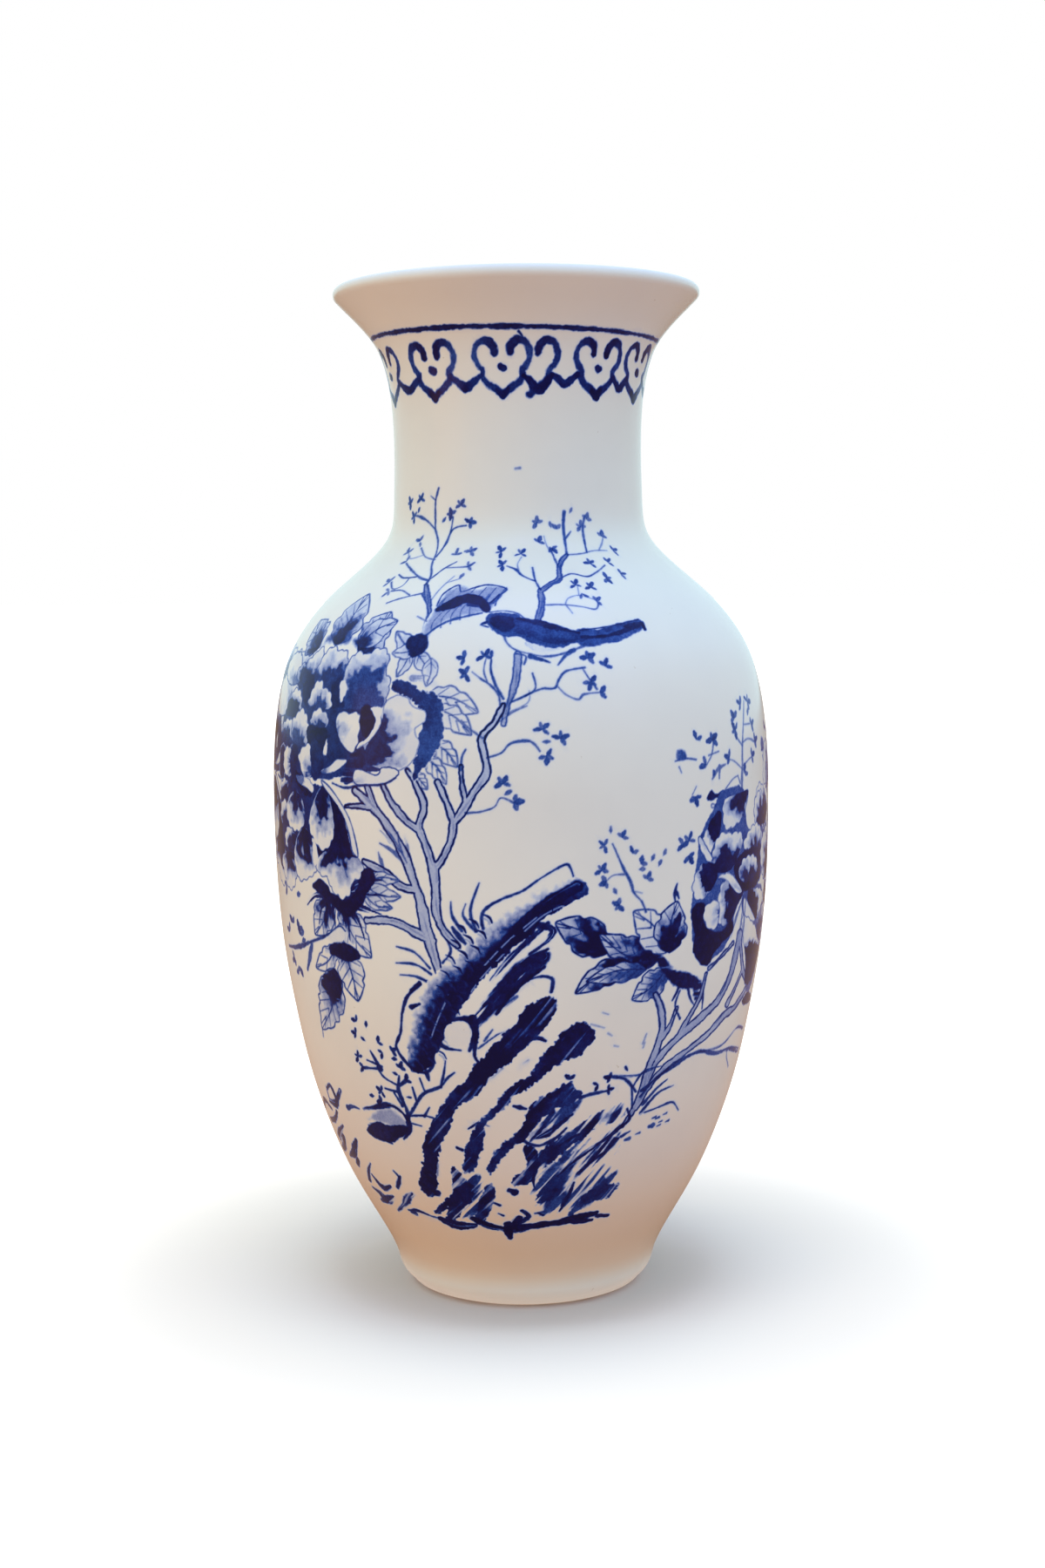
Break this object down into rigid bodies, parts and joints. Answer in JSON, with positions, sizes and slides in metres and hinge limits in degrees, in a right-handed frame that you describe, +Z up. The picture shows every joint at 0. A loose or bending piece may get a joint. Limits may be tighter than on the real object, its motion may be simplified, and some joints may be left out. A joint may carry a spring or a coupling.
{
  "type": "porcelain vase",
  "caption": "Baluster vase with a flared mouth, waisted neck, broad shoulder and long taper to a turned foot, painted in underglaze blue with a garden scene.",
  "frame": {"origin": "centre of the foot ring's resting plane, on the axis of revolution", "axes": "+Z up along the axis of revolution, from the foot to the mouth; -Y faces the painted front"},
  "size_m": [0.1794, 0.1794, 0.36],
  "materials": {
    "porcelain_body": "matte",
    "slip": "matte",
    "painted_glaze": "gloss",
    "clear_glaze": "gloss"
  },
  "bodies": {
    "root": {"foot_ring": "porcelain_body", "base_disc": "porcelain_body", "lower_body": "porcelain_body", "upper_body": "porcelain_body", "neck_and_mouth": "porcelain_body", "foot_seam": "slip", "waist_seam": "slip", "shoulder_seam": "slip", "outer_glaze": "painted_glaze", "inner_glaze": "clear_glaze", "base_glaze": "clear_glaze"}
  },
  "joints": []
}
